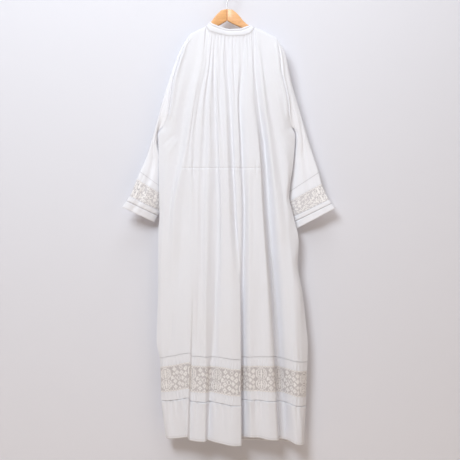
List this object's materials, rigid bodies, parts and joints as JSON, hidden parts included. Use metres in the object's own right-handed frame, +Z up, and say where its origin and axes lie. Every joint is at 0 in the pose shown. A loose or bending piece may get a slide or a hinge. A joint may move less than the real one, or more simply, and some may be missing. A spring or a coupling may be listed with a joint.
{
  "type": "long linen smock on a wooden hanger",
  "caption": "Floor-length white linen smock with gathered neck, straight sleeves and lace insertions above hem and cuffs, hung on a small wooden hanger",
  "frame": {"origin": "inside top of the hook's bow, where a peg holds it", "axes": "+X across the smock, to the right as seen from its back; -Y out of the back, the side that the picture shows; +Z up"},
  "size_m": [0.7482, 0.0896, 1.6111],
  "materials": {
    "linen": "fine plain-weave bleached linen, matt",
    "lace": "cotton lace, matt, slightly darker than the linen",
    "wood": "varnished light hardwood",
    "steel": "bright wire",
    "shell": "small pearly button"
  },
  "bodies": {
    "root": {"back_panel": "linen", "front_panel": "linen", "neckband": "linen", "hem_strip_upper_back": "linen", "hem_strip_upper_front": "linen", "hem_lace_back": "lace", "hem_lace_front": "lace", "hem_strip_lower_back": "linen", "hem_strip_lower_front": "linen", "flounce_back": "linen", "flounce_front": "linen", "sleeve_left": "linen", "sleeve_right": "linen", "sleeve_strip_left": "linen", "sleeve_strip_right": "linen", "sleeve_lace_left_back": "lace", "sleeve_lace_left_front": "lace", "sleeve_lace_right_back": "lace", "sleeve_lace_right_front": "lace", "cuff_left": "linen", "cuff_right": "linen", "neck_button": "shell", "hanger_arm_left": "wood", "hanger_arm_right": "wood", "hanger_hook": "steel"}
  },
  "joints": []
}
